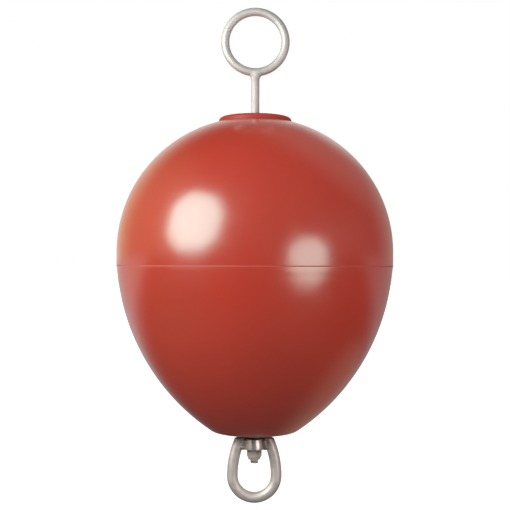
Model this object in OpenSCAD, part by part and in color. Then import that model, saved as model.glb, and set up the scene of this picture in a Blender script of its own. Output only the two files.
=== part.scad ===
// Mooring buoy: a two-part plastic float on a steel rod, with a welded ring above and a swivel below.
// Millimetres, +Z up. The origin is on the axis, in the plane of the seam between the two halves.

/* [Float] */
// Largest diameter of the float
float_d = 400; // [300:1:500]
// Height of the widest circle above the seam
equator_h = 20; // [12:0.5:30]
// Radius of the arc that the upper half is turned from
upper_arc = 194.5; // [160:0.5:240]
// Radius of the arc that the lower half is turned from
lower_arc = 313; // [250:0.5:380]
// Height of the flat crown above the seam
crown_h = 207; // [160:0.5:250]
// Least width of the flat crown outside the collar
crown_rim = 3; // [1:0.5:6]
// Depth of the flat base below the seam
base_depth = 240; // [190:0.5:300]
// Least width of the flat base outside the boss
base_rim = 15; // [8:0.5:25]
// Rounding where the lower half turns into the flat base
base_round = 13; // [8:0.5:20]
// Wall of both halves
shell_wall = 4; // [3:0.1:6]
// Height of the tongue on the lower half that the skirt of the upper half laps over
lap_h = 14; // [8:0.5:18]
// Thickness of that tongue
lap_t = 3.5; // [2.5:0.1:5]
// Clearance between tongue and skirt
lap_gap = 0.15; // [0.1:0.05:0.4]
// Bevel on each half's outer edge, the two of which make the groove at the seam
seam_bevel = 1; // [0.5:0.1:1.5]

/* [Collar and boss] */
// Diameter of the collar on the crown
collar_d = 106; // [80:1:110]
// Thickness of the collar
collar_t = 9; // [7:0.5:14]
// Rounding of the collar's upper rim
collar_round = 5; // [2:0.5:6]
// Diameter of the boss under the base
boss_d = 40; // [34:1:60]
// Height of the boss
boss_h = 7.5; // [5:0.5:10]
// Rounding of the boss's lower edge
boss_round = 2; // [1:0.5:3]

/* [Rod and ring] */
// Diameter of the rod
rod_d = 12; // [10:0.5:14]
// Rod that shows between the collar and the ring
rod_show = 61; // [40:1:90]
// Rod that stands out of the lock nut
stud_out = 5.7; // [3:0.1:12]
// Bevel on the end of the stud
stud_bevel = 0.8; // [0.5:0.1:2]
// Clearance around the rod where it passes through fixed pieces
rod_gap = 0.1; // [0.05:0.05:0.3]
// Outer diameter of the ring
ring_d = 100; // [80:1:130]
// Diameter of the ring's bar
ring_bar = 12; // [10:0.5:16]
// Radius of the hollow face of the weld under the ring
ring_weld_r = 4; // [2.5:0.5:5]
// How far the weld laps up the sides of the ring's bar from its underside
ring_weld_lap = 6; // [4:0.5:8]

/* [Swivel] */
// Outer diameter of the thrust washer
washer_d = 30; // [26:1:32]
// Thickness of the thrust washer
washer_t = 3.5; // [3:0.5:8]
// Bevel on the thrust washer's rims
washer_bevel = 0.6; // [0.3:0.1:1]
// Axial play of the hub between washer and nut, at each end
hub_play = 0.3; // [0.2:0.05:0.6]
// Running clearance of the hub on the rod, radial
hub_run = 0.08; // [0.02:0.01:0.1]
// Diameter of the hub at its upper rim
hub_top_d = 27; // [25:0.5:30]
// Diameter of the hub at its lower rim
hub_d = 31; // [28:0.5:34]
// Height of the hub
hub_h = 16; // [11:0.5:20]
// Bevel on the hub's rims
hub_bevel = 1.5; // [0.5:0.1:2]
// Diameter of the bow's bar
bow_bar = 16; // [13:0.5:18]
// Width of the bow over its outside
bow_w = 80; // [74:1:90]
// Height of the bow from its leg ends to its underside
bow_h = 95.5; // [86:0.5:110]
// Radius that the legs curve inwards with
leg_arc = 130; // [100:1:160]
// How far the leg ends stand above the hub's upper face
leg_rise = 1; // [0.5:0.1:4]
// Clearance between the leg ends and the washer
leg_gap = 1; // [0.5:0.1:2]
// Radius of the weld beads between legs and hub
bead_r = 5; // [3.5:0.1:6]
// How far the beads in front and behind each run past the bow's plane
bead_lap = 1; // [0.5:0.1:2]

/* [Lock nut] */
// Width across the nut's flats
nut_flats = 19; // [17:0.5:22]
// Height of the hexagon
nut_hex_h = 11; // [7:0.5:13]
// How far inside the flats the bevel of the hexagon's corners starts
nut_bevel = 0.3; // [0.1:0.1:0.6]
// Height of the crimped collar below the hexagon
nut_crimp_h = 3; // [3:0.5:6]
// Diameter of the crimped collar where it leaves the hexagon
nut_crimp_d = 18; // [16.5:0.1:18.5]
// Diameter of the crimped collar at its mouth
nut_mouth_d = 16.6; // [15:0.1:17.5]
// Outer diameter of the plastic locking ring
insert_d = 14.4; // [14.2:0.1:14.8]
// Height of the plastic locking ring
insert_h = 2.6; // [1.5:0.1:3]
// Turn of the nut about its axis
nut_turn = 14; // [0:1:59]

/* [Hidden] */
$fn = 96;

// Cuts run past the faces that they open by this much
past = 1;

// Radii
float_r = float_d / 2;
rod_r = rod_d / 2;
rod_hole_r = rod_r + rod_gap;
hub_bore_r = rod_r + hub_run;
nut_corners = nut_flats / cos(30);

// How far an arc that leaves the float's side upright has climbed when it comes in to a radius
function climb(arc, r) = sqrt(pow(arc, 2) - pow(r - float_r + arc, 2));

// Heights of the arcs' centres: the equator, or nearer to a flat that would be too small otherwise
upper_mid = max(equator_h, crown_h - climb(upper_arc, collar_d / 2 + crown_rim));
lower_mid = min(equator_h, climb(lower_arc, boss_d / 2 + base_rim) - base_depth);

// Heights along the axis, from the crown up
collar_top = crown_h + collar_t;
ring_low = collar_top + rod_show;
ring_mid = ring_low + ring_d / 2;
ring_arc = (ring_d - ring_bar) / 2;

// Heights along the axis, from the base down
boss_low = -base_depth - boss_h;
washer_low = boss_low - washer_t;
hub_top = washer_low - hub_play;
hub_low = hub_top - hub_h;
nut_top = hub_low - hub_play;
nut_hex_low = nut_top - nut_hex_h;
nut_low = nut_hex_low - nut_crimp_h;
stud_low = nut_low - stud_out;

// The bow: a half circle below, and two legs that curve inwards above it
bow_r = bow_bar / 2;
bow_arc = bow_w / 2 - bow_r;
leg_top = hub_top + leg_rise;
bow_mid = leg_top - bow_h + bow_w / 2;
leg_turn = asin((leg_top - bow_mid + bow_r) / leg_arc);

// Where the leg's middle lies at a height
function leg_x(z) = bow_arc - leg_arc + sqrt(pow(leg_arc, 2) - pow(z - bow_mid, 2));

// Radius of the hub's side at a height
function hub_r(z) = (hub_top_d + (hub_d - hub_top_d) * (hub_top - z) / hub_h) / 2;

// Colours
red = [0.72, 0.18, 0.12];
steel = [0.75, 0.74, 0.72];
dull_steel = [0.6, 0.59, 0.57];
weld_grey = [0.5, 0.48, 0.46];
black = [0.08, 0.08, 0.08];
nylon = [0.85, 0.85, 0.8];

// Half section of the upper half of the float, set in by a wall
module upper_half_section(inset) {
    intersection() {
        union() {
            translate([float_r - upper_arc, upper_mid])
                circle(r = upper_arc - inset);
            square([float_r - inset, upper_mid]);
            // On a low, wide float the crown stays flat inside the top of the arc
            square([max(float_r - upper_arc, rod_r), crown_h - inset]);
        }
        square([float_r + past, crown_h - inset]);
    }
}

// Half section of the lower half of the float, set in by a wall
module lower_half_section(inset) {
    arc = lower_arc - inset;
    turn = max(base_round - inset, 1);
    low = -base_depth + inset;
    arc_x = float_r - lower_arc;
    turn_z = low + turn;
    turn_x = arc_x + sqrt(pow(arc - turn, 2) - pow(lower_mid - turn_z, 2));
    // Height at which the large arc runs into the rounding
    meet_z = turn_z - turn * (lower_mid - turn_z) / (arc - turn);
    intersection() {
        translate([arc_x, lower_mid])
            circle(r = arc);
        translate([0, meet_z])
            square([float_r, -meet_z]);
    }
    translate([turn_x, turn_z])
        circle(r = turn);
    translate([0, low])
        square([turn_x, -low]);
}

// Corner of a half section that is cut off at 45 degrees, pointing outwards and up or down
module bevel_cut(r, z, size, side) {
    polygon([[r - size, z], [r + past, z + side * (size + past)], [r + past, z - side * past], [r - size, z - side * past]]);
}

// Bore through the fixed pieces that the rod passes
module rod_hole(low, high) {
    translate([0, 0, low - past])
        cylinder(r = rod_hole_r, h = high - low + 2 * past);
}

// Disc with one rounded edge, as a half section that stands on its square edge
module rounded_disc_section(r, h, edge) {
    square([r - edge, h]);
    square([r, h - edge]);
    intersection() {
        translate([r - edge, h - edge])
            circle(r = edge);
        square([r, h]);
    }
}

module upper_shell() {
    color(red)
        difference() {
            rotate_extrude()
                difference() {
                    upper_half_section(0);
                    upper_half_section(shell_wall);
                    bevel_cut(float_r, 0, seam_bevel, 1);
                }
            rod_hole(crown_h - shell_wall, crown_h);
        }
}

module lower_shell() {
    rim_r = float_r - lower_arc + sqrt(pow(lower_arc, 2) - pow(lower_mid, 2));
    tongue_r = float_r - shell_wall - lap_gap;
    color(red)
        difference() {
            rotate_extrude() {
                difference() {
                    lower_half_section(0);
                    lower_half_section(shell_wall);
                    bevel_cut(rim_r, 0, seam_bevel, -1);
                }
                translate([tongue_r - lap_t, -lap_h])
                    square([lap_t, 2 * lap_h]);
                // The boss grows out of the base's own thickness
                translate([0, -base_depth + shell_wall / 2])
                    mirror([0, 1])
                        rounded_disc_section(boss_d / 2, boss_h + shell_wall / 2, boss_round);
            }
            rod_hole(boss_low, -base_depth + shell_wall);
        }
}

module top_collar() {
    color(red)
        difference() {
            translate([0, 0, crown_h])
                rotate_extrude()
                    rounded_disc_section(collar_d / 2, collar_t, collar_round);
            rod_hole(crown_h, collar_top);
        }
}

// The ring's bar as a closed ring in the XZ plane
module ring_bar_solid() {
    translate([0, 0, ring_mid])
        rotate([90, 0, 0])
            rotate_extrude()
                translate([ring_arc, 0])
                    circle(d = ring_bar);
}

module center_rod() {
    color(steel)
        difference() {
            translate([0, 0, stud_low])
                rotate_extrude()
                    polygon([
                        [0, 0], [rod_r - stud_bevel, 0], [rod_r, stud_bevel],
                        [rod_r, ring_low + ring_bar / 4 - stud_low], [0, ring_low + ring_bar / 4 - stud_low]
                    ]);
            ring_bar_solid();
        }
}

module top_ring() {
    color(steel)
        ring_bar_solid();
}

module ring_weld() {
    // The hollow face touches the rod's side and the ring's outer circle
    face_x = rod_r + ring_weld_r;
    face_z = ring_mid - sqrt(pow(ring_d / 2 + ring_weld_r, 2) - pow(face_x, 2));
    crest_r = face_x - ring_weld_r * face_x / (ring_d / 2 + ring_weld_r);
    color(weld_grey)
        difference() {
            rotate_extrude()
                difference() {
                    intersection() {
                        translate([0, ring_low - past])
                            circle(r = crest_r + past / 2);
                        translate([0, face_z])
                            square([crest_r, ring_low + ring_weld_lap - face_z]);
                    }
                    translate([face_x, face_z])
                        circle(r = ring_weld_r);
                }
            translate([0, 0, stud_low])
                cylinder(r = rod_r, h = ring_mid - stud_low);
            ring_bar_solid();
        }
}

module thrust_washer() {
    r = washer_d / 2;
    color(black)
        difference() {
            translate([0, 0, washer_low])
                rotate_extrude()
                    polygon([
                        [0, 0], [r - washer_bevel, 0], [r, washer_bevel],
                        [r, washer_t - washer_bevel], [r - washer_bevel, washer_t], [0, washer_t]
                    ]);
            rod_hole(washer_low, boss_low);
        }
}

// Half section that the hexagon bar is turned to: bevelled corners, then the crimped collar at its mouth
module nut_section() {
    face = nut_flats / 2 - nut_bevel;
    reach = nut_corners / 2 + past;
    drop = (reach - face) * tan(30);
    high = nut_crimp_h + nut_hex_h;
    polygon([
        [0, 0], [nut_mouth_d / 2, 0], [nut_crimp_d / 2, nut_crimp_h], [face, nut_crimp_h],
        [reach, nut_crimp_h + drop], [reach, high - drop], [face, high], [0, high]
    ]);
}

module lock_nut() {
    color(steel)
        difference() {
            intersection() {
                translate([0, 0, nut_low - past])
                    rotate([0, 0, nut_turn - 90])
                        cylinder(d = nut_corners, h = nut_top - nut_low + 2 * past, $fn = 6);
                translate([0, 0, nut_low])
                    rotate_extrude()
                        nut_section();
            }
            rod_hole(nut_low, nut_top);
            translate([0, 0, nut_low - past])
                cylinder(d = insert_d, h = insert_h + past);
        }
}

module nut_insert() {
    color(nylon)
        difference() {
            translate([0, 0, nut_low])
                cylinder(d = insert_d - 2 * rod_gap, h = insert_h);
            rod_hole(nut_low, nut_low + insert_h);
        }
}

// The hub's turned body without its bore, also what the legs and beads are cut back by
module hub_blank() {
    translate([0, 0, hub_low])
        rotate_extrude()
            polygon([
                [0, 0], [hub_d / 2 - hub_bevel, 0], [hub_d / 2, hub_bevel],
                [hub_top_d / 2, hub_h - hub_bevel], [hub_top_d / 2 - hub_bevel, hub_h], [0, hub_h]
            ]);
}

module swivel_hub() {
    color(dull_steel)
        difference() {
            hub_blank();
            translate([0, 0, hub_low - past])
                cylinder(r = hub_bore_r, h = hub_h + 2 * past);
        }
}

// The bent bar with its leg ends cut level, before the legs are fitted to the hub
module bow_bar_solid() {
    difference() {
        union() {
            translate([0, 0, bow_mid])
                rotate([90, 0, 0])
                    rotate([0, 0, 180])
                        rotate_extrude(angle = 180)
                            translate([bow_arc, 0])
                                circle(r = bow_r);
            for (side = [0, 1])
                mirror([side, 0, 0])
                    translate([bow_arc - leg_arc, 0, bow_mid])
                        rotate([90, 0, 0])
                            rotate_extrude(angle = leg_turn)
                                translate([leg_arc, 0])
                                    circle(r = bow_r);
        }
        translate([-bow_w, -bow_w, leg_top])
            cube([2 * bow_w, 2 * bow_w, leg_arc]);
    }
}

module swivel_bow() {
    color(dull_steel)
        difference() {
            bow_bar_solid();
            hub_blank();
            // The leg ends stay clear of the washer
            translate([0, 0, hub_top - hub_bevel])
                cylinder(d = washer_d + 2 * leg_gap, h = leg_rise + hub_bevel + past);
        }
}

// A weld bead that stands on its lower end's middle
module bead(length) {
    rotate_extrude()
        intersection() {
            union() {
                circle(r = bead_r);
                translate([0, length])
                    circle(r = bead_r);
                square([bead_r, length]);
            }
            translate([0, -bead_r])
                square([bead_r, length + 2 * bead_r]);
        }
}

module swivel_welds() {
    // Each bead lies in the valley between the hub's side and a leg, and leans as the leg does
    low = hub_low + bead_r / 2;
    high = hub_top - bead_r;
    low_x = (hub_r(low) + leg_x(low) - bow_r) / 2;
    high_x = (hub_r(high) + leg_x(high) - bow_r) / 2;
    lean = atan2(low_x - high_x, high - low);
    length = norm([low_x - high_x, high - low]);
    color(weld_grey)
        difference() {
            for (side = [0, 1], face = [0, 1])
                mirror([side, 0, 0])
                    mirror([0, face, 0])
                        translate([low_x, bead_lap - bead_r, low])
                            rotate([0, -lean, 0])
                                bead(length);
            hub_blank();
            bow_bar_solid();
        }
}

upper_shell();
lower_shell();
top_collar();
center_rod();
top_ring();
ring_weld();
thrust_washer();
lock_nut();
nut_insert();
swivel_hub();
swivel_bow();
swivel_welds();
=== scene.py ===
"""Mooring buoy: finished surfaces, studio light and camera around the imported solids."""

import logging
import math
from dataclasses import dataclass
from enum import Enum

import bmesh
import bpy
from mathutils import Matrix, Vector

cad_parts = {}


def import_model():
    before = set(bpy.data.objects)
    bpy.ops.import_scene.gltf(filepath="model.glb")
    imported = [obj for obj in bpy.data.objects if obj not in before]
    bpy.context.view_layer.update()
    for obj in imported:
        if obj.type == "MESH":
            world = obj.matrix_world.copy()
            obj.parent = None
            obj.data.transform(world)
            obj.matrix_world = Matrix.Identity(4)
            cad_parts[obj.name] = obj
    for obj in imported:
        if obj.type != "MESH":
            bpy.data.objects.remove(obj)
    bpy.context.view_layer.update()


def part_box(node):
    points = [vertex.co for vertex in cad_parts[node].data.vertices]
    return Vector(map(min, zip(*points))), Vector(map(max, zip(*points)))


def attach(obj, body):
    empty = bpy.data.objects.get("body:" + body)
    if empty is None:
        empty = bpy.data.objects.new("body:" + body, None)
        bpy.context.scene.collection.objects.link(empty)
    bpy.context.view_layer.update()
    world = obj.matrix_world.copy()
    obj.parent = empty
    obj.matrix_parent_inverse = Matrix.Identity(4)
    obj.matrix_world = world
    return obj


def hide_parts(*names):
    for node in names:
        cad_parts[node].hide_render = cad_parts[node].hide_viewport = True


LOG = logging.getLogger("mooring_buoy")

Point2 = tuple[float, float]
Point3 = tuple[float, float, float]
Colour = tuple[float, float, float, float]
Socket = bpy.types.NodeSocket
Material = bpy.types.Material
Piece = bpy.types.Object
Value = Socket | Colour | float

MM = 0.001
TURN = 2.0 * math.pi
# Directions in a half section, as angles from the outward one
OUT, UP, IN, DOWN = 0.0, math.pi / 2, math.pi, -math.pi / 2
ORIGIN = (0.0, 0.0, 0.0)
SHARP_ANGLE = math.radians(32.0)
SAME_POINT = 1e-7
LAMP_MIDDLE = (0.5, 0.5, 0.0)
LAMP_SIDES = (1.0, 1.0, 0.0)
ROD_CLEARANCE = 0.1 * MM
HUB_CLEARANCE = 0.08 * MM

WHITE = (1.0, 1.0, 1.0, 1.0)
RISING = (0.0, 1.0)
FALLING = (1.0, 0.0)
NOISE_MOST = (0.3, 0.7)
NOISE_MIDDLE = (0.35, 0.65)


class Body(Enum):
    """Rigid bodies that the pieces ride on."""

    BUOY = "buoy"
    SWIVEL = "swivel"


class Grain(Enum):
    """How a steel surface is marked, as the stretch of its noise along X, Y and Z."""

    ALONG_ROD = (1.0, 1.0, 0.03)
    AROUND_ROD = (0.08, 0.08, 1.0)
    TUMBLED = (1.0, 1.0, 1.0)


class Shades:
    """The nodes of a material, a lamp or the world, with short calls that add nodes and join them."""

    def __init__(self, tree: bpy.types.NodeTree) -> None:
        """Take hold of a node tree.

        Args:
            tree: The tree that nodes are added to.
        """
        self.nodes = tree.nodes
        self.links = tree.links

    def joined(self, operation: str, first: Socket, second: Socket | float) -> Socket:
        """Join two values.

        Args:
            operation: What the Math node does with them.
            first: The first value.
            second: The second value, fixed or from another node.

        Returns:
            The result.
        """
        node = self.nodes.new("ShaderNodeMath")
        node.operation = operation
        self.links.new(first, node.inputs[0])
        if isinstance(second, Socket):
            self.links.new(second, node.inputs[1])
        else:
            node.inputs[1].default_value = second
        return node.outputs[0]

    def times(self, first: Socket, second: Socket) -> Socket:
        """Multiply two values."""
        return self.joined("MULTIPLY", first, second)

    def vector(self, operation: str, source: Socket, value: Point3 = ORIGIN) -> Socket:
        """Work on a vector.

        Args:
            operation: What the Vector Math node does with it.
            source: The vector.
            value: A fixed second vector, for the operations that use one.

        Returns:
            The new vector, or the number that a distance or a dot product gives.
        """
        node = self.nodes.new("ShaderNodeVectorMath")
        node.operation = operation
        node.inputs[1].default_value = value
        self.links.new(source, node.inputs[0])
        return node.outputs["Value" if operation in ("DISTANCE", "DOT_PRODUCT") else "Vector"]

    def ranged(self, source: Socket, start: Point2, end: Point2, smooth: bool = False) -> Socket:
        """Map a value from one range to another, held at its ends.

        Args:
            source: The value to map.
            start: The range that it comes from.
            end: The range that it goes to.
            smooth: Whether the ends ease in and out.

        Returns:
            The mapped value.
        """
        node = self.nodes.new("ShaderNodeMapRange")
        node.interpolation_type = "SMOOTHSTEP" if smooth else "LINEAR"
        node.inputs["From Min"].default_value, node.inputs["From Max"].default_value = start
        node.inputs["To Min"].default_value, node.inputs["To Max"].default_value = end
        self.links.new(source, node.inputs["Value"])
        return node.outputs["Result"]

    def mixed(self, factor: Socket, first: Value, second: Value, plain: bool = False) -> Socket:
        """Mix two colours, or two plain values, each of them fixed or from another node.

        Args:
            factor: How much of the second one shows.
            first: What shows at 0.
            second: What shows at 1.
            plain: Whether they are plain values and not colours.

        Returns:
            The mix.
        """
        node = self.nodes.new("ShaderNodeMix")
        node.data_type = "FLOAT" if plain else "RGBA"
        places = (2, 3) if plain else (6, 7)
        for place, value in zip(places, (first, second)):
            if isinstance(value, Socket):
                self.links.new(value, node.inputs[place])
            else:
                node.inputs[place].default_value = value
        self.links.new(factor, node.inputs[0])
        return node.outputs[0 if plain else 2]


@dataclass(frozen=True)
class Pool:
    """A round pool of light on the floor: its strength at its middle and outside it, eased over a span."""

    centre: Point2
    span: Point2
    strength: Point2
    colour: Colour = WHITE


class Sheet(Shades):
    """A material with a Principled shader, whose marks follow the object's own coordinates."""

    def __init__(self, name: str) -> None:
        """Start a material whose only shader is a Principled one.

        Args:
            name: The material's name.
        """
        self.material = bpy.data.materials.new(name)
        self.material.use_nodes = True
        super().__init__(self.material.node_tree)
        self.shader = self.nodes["Principled BSDF"]
        self.place = self.nodes.new("ShaderNodeTexCoord").outputs["Object"]

    def set(self, socket: str, value: float | Colour) -> None:
        """Set one of the shader's own sockets."""
        self.shader.inputs[socket].default_value = value

    def feed(self, socket: str, source: Socket) -> None:
        """Join a node's output to one of the shader's sockets."""
        self.links.new(source, self.shader.inputs[socket])

    def noise(self, per_metre: float, detail: float, stretch: Point3 = (1.0, 1.0, 1.0)) -> Socket:
        """Add a noise over the object's own coordinates.

        Args:
            per_metre: How many features lie in a metre.
            detail: How many finer layers are added.
            stretch: Scale of the pattern along X, Y and Z.

        Returns:
            The noise's value, about 0.3 to 0.7.
        """
        mapping = self.nodes.new("ShaderNodeMapping")
        mapping.inputs["Scale"].default_value = stretch
        self.links.new(self.place, mapping.inputs["Vector"])
        texture = self.nodes.new("ShaderNodeTexNoise")
        texture.inputs["Scale"].default_value = per_metre
        texture.inputs["Detail"].default_value = detail
        self.links.new(mapping.outputs["Vector"], texture.inputs["Vector"])
        return texture.outputs["Fac"]

    def along(self, axis: str) -> Socket:
        """Pick one of the object's own coordinates.

        Args:
            axis: X, Y or Z.

        Returns:
            The coordinate in metres.
        """
        split = self.nodes.new("ShaderNodeSeparateXYZ")
        self.links.new(self.place, split.inputs[0])
        return split.outputs[axis]

    def bump(self, source: Socket, strength: float, depth: float, under: Socket | None = None) -> Socket:
        """Turn a value into relief.

        Args:
            source: The height, 0 to 1.
            strength: How much of the relief shows.
            depth: The relief's real depth in metres.
            under: Relief of another node that this one is added to.

        Returns:
            The normal to feed to the shader.
        """
        node = self.nodes.new("ShaderNodeBump")
        node.inputs["Strength"].default_value = strength
        node.inputs["Distance"].default_value = depth
        self.links.new(source, node.inputs["Height"])
        if under is not None:
            self.links.new(under, node.inputs["Normal"])
        return node.outputs["Normal"]

    def lit(self, shader: Socket, strength: Socket, colour: Colour) -> Socket:
        """Add light to a shader.

        Args:
            shader: The shader that the light is added to.
            strength: The light's strength.
            colour: The light's colour.

        Returns:
            The sum of both.
        """
        light, total = self.nodes.new("ShaderNodeEmission"), self.nodes.new("ShaderNodeAddShader")
        light.inputs["Color"].default_value = colour
        self.links.new(strength, light.inputs["Strength"])
        self.links.new(shader, total.inputs[0])
        self.links.new(light.outputs[0], total.inputs[1])
        return total.outputs[0]

    def pooled(self, shader: Socket, pool: Pool, height: float) -> Socket:
        """Add a pool of light at a height to a shader."""
        reach = self.vector("DISTANCE", self.place, (*pool.centre, height))
        return self.lit(shader, self.ranged(reach, pool.span, pool.strength, smooth=True), pool.colour)

    def picked(self, factor: Socket, first: Socket, second: Socket) -> Socket:
        """Mix two shaders.

        Args:
            factor: How much of the second one shows.
            first: The shader at 0.
            second: The shader at 1.

        Returns:
            The mix.
        """
        node = self.nodes.new("ShaderNodeMixShader")
        for place, source in enumerate((factor, first, second)):
            self.links.new(source, node.inputs[place])
        return node.outputs[0]


@dataclass(frozen=True)
class PlasticFinish:
    """A moulded plastic: a colour with a slow drift, fine moulding texture and a soft gloss.

    It can be painted darker towards -X, a painted shade that evens out the key light there. It can also
    have a matt line at its seam at Z = 0, painted paler towards -X as a painted highlight where the key
    light catches it.
    """

    name: str
    colour: Colour
    shade: Colour
    roughness: Point2
    peel_depth: float
    refraction: float = 1.5
    specular: float = 0.5
    specular_tint: Colour = WHITE
    haze: float = 0.0
    haze_roughness: float = 0.3
    left_painted_shade: Colour | None = None
    trim_painted_highlight: Colour | None = None
    left_painted_shade_span: Point2 = (-0.2, 0.2)
    trim_low: Point2 = (-0.95 * MM, -0.75 * MM)
    trim_high: Point2 = (0.5 * MM, 0.7 * MM)
    trim_highlight_fade: Point2 = (-0.05, 0.025)
    trim_roughness: float = 0.85
    drift_per_metre: float = 7.0
    gloss_per_metre: float = 45.0
    wave_per_metre: float = 30.0
    wave_strength: float = 0.12
    wave_to_peel: float = 6.0
    peel_per_metre: float = 1400.0
    peel_strength: float = 0.25

    def build(self) -> Material:
        """Build the material.

        Returns:
            The finished material.
        """
        sheet = Sheet(self.name)
        patches = sheet.noise(self.drift_per_metre, detail=2.0)
        drift = sheet.ranged(patches, NOISE_MIDDLE, RISING, smooth=True)
        colour = sheet.mixed(drift, self.colour, self.shade)
        # Painted shade: the colour turns darker towards -X to even out the key light on that side
        if self.left_painted_shade is not None:
            left_shade_fade = sheet.ranged(sheet.along("X"), self.left_painted_shade_span, FALLING)
            colour = sheet.mixed(left_shade_fade, colour, self.left_painted_shade)
        rough = sheet.ranged(sheet.noise(self.gloss_per_metre, detail=4.0), NOISE_MOST, self.roughness)
        # A matt line at the seam; its paler colour towards -X is a painted highlight where the key light
        # catches it
        if self.trim_painted_highlight is not None:
            height = sheet.along("Z")
            above = sheet.ranged(height, self.trim_low, RISING)
            line = sheet.times(above, sheet.ranged(height, self.trim_high, FALLING))
            pale = sheet.times(line, sheet.ranged(sheet.along("X"), self.trim_highlight_fade, FALLING))
            colour = sheet.mixed(pale, colour, self.trim_painted_highlight)
            rough = sheet.joined("MAXIMUM", rough, sheet.ranged(line, RISING, (0.0, self.trim_roughness)))
        sheet.feed("Base Color", colour)
        sheet.feed("Roughness", rough)
        swell = sheet.noise(self.wave_per_metre, detail=1.0)
        wave = sheet.bump(swell, self.wave_strength, self.wave_to_peel * self.peel_depth)
        peel = sheet.noise(self.peel_per_metre, detail=2.0)
        sheet.feed("Normal", sheet.bump(peel, self.peel_strength, self.peel_depth, wave))
        sheet.set("IOR", self.refraction)
        sheet.set("Specular IOR Level", self.specular)
        sheet.set("Specular Tint", self.specular_tint)
        sheet.set("Coat Weight", self.haze)
        sheet.set("Coat Roughness", self.haze_roughness)
        return sheet.material


@dataclass(frozen=True)
class SteelFinish:
    """A satin steel: tone with blotches, marks along its grain and a tint over a stretch of its height.

    The fine pits of a tumbled surface scatter part of the light, which is what its metal share leaves.
    """

    name: str
    metal: float
    tone: Colour
    blotch: Colour
    roughness: Point2
    grain: Grain
    grain_per_metre: float
    grain_depth: float
    tint: Colour
    tint_span: Point2
    tint_most: float
    edge_tint: Colour = (0.10, 0.09, 0.09, 1.0)
    grain_strength: float = 0.35
    blotch_per_metre: float = 90.0
    blotch_span: Point2 = (0.38, 0.68)
    uneven_per_metre: float = 160.0
    uneven_span: Point2 = (0.35, 0.6)
    uneven_least: float = 0.4

    def build(self) -> Material:
        """Build the material.

        Returns:
            The finished material.
        """
        sheet = Sheet(self.name)
        marks = sheet.noise(self.grain_per_metre, detail=5.0, stretch=self.grain.value)
        patches = sheet.noise(self.blotch_per_metre, detail=4.0)
        blotched = sheet.ranged(patches, self.blotch_span, RISING, smooth=True)
        colour = sheet.mixed(blotched, self.tone, self.blotch)
        # Tint over a stretch of height: straw heat tint by the ring weld on the rod and ring; painted shade
        # under the part above on the thread, nut, hub and bow; on the swivel welds it darkens their top
        heat_tint_and_shade = sheet.ranged(sheet.along("Z"), self.tint_span, (0.0, self.tint_most), smooth=True)
        clouds = sheet.noise(self.uneven_per_metre, detail=2.0)
        uneven = sheet.ranged(clouds, self.uneven_span, (self.uneven_least, 1.0))
        sheet.feed("Base Color", sheet.mixed(sheet.times(heat_tint_and_shade, uneven), colour, self.tint))
        sheet.feed("Roughness", sheet.ranged(marks, NOISE_MOST, self.roughness))
        sheet.feed("Normal", sheet.bump(marks, self.grain_strength, self.grain_depth))
        sheet.set("Metallic", self.metal)
        sheet.set("Specular Tint", self.edge_tint)
        return sheet.material


# Painted shade, darker towards -X, and a painted highlight on the seam line on that side
FLOAT_RED = PlasticFinish(
    name="float_red", colour=(0.63, 0.036, 0.016, 1.0), shade=(0.59, 0.032, 0.014, 1.0),
    roughness=(0.20, 0.25), peel_depth=0.06 * MM, refraction=1.68, specular=1.0,
    specular_tint=(0.66, 1.0, 0.93, 1.0), haze=0.5, haze_roughness=0.55,
    left_painted_shade=(0.48, 0.035, 0.0155, 1.0), trim_painted_highlight=(0.57, 0.075, 0.052, 1.0),
)
# Painted shade: the collar is the float's red plastic painted darker, standing in for its shade
SHADED_COLLAR_RED = PlasticFinish(
    name="collar_red", colour=(0.47, 0.037, 0.021, 1.0), shade=(0.42, 0.031, 0.018, 1.0),
    roughness=(0.50, 0.60), peel_depth=0.08 * MM, haze=0.1, haze_roughness=0.6,
)
# A thrust washer; its near-black also stands in for the shade in the gap under the float
WASHER_BLACK = PlasticFinish(
    name="washer_black", colour=(0.014, 0.014, 0.015, 1.0), shade=(0.022, 0.021, 0.020, 1.0),
    roughness=(0.42, 0.58), peel_depth=0.06 * MM,
)
INSERT_NYLON = PlasticFinish(
    name="insert_nylon", colour=(0.86, 0.85, 0.81, 1.0), shade=(0.80, 0.79, 0.74, 1.0),
    roughness=(0.38, 0.50), peel_depth=0.04 * MM,
)
ROD_STEEL = SteelFinish(
    name="rod_steel", metal=0.80, tone=(0.93, 0.91, 0.91, 1.0), blotch=(0.87, 0.85, 0.85, 1.0),
    roughness=(0.70, 0.84), grain=Grain.ALONG_ROD, grain_per_metre=1500.0, grain_depth=0.04 * MM,
    tint=(0.64, 0.56, 0.49, 1.0), tint_span=(0.262, 0.276), tint_most=0.35,
)
# Painted shade: the thread is painted much darker than the rod for the shade in its grooves, darkest where
# it meets the nut
SHADED_THREAD_STEEL = SteelFinish(
    name="shaded_thread_steel", metal=0.9, tone=(0.46, 0.435, 0.415, 1.0), blotch=(0.32, 0.30, 0.285, 1.0),
    roughness=(0.30, 0.42), grain=Grain.TUMBLED, grain_per_metre=900.0, grain_depth=0.02 * MM,
    tint=(0.40, 0.37, 0.35, 1.0), tint_span=(-0.284, -0.280), tint_most=0.5,
)
RING_STEEL = SteelFinish(
    name="ring_steel", metal=0.82, tone=(0.93, 0.90, 0.89, 1.0), blotch=(0.87, 0.84, 0.83, 1.0),
    roughness=(0.60, 0.70), grain=Grain.TUMBLED, grain_per_metre=900.0, grain_depth=0.005 * MM,
    tint=(0.64, 0.56, 0.49, 1.0), tint_span=(0.300, 0.280), tint_most=0.35,
)
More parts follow.
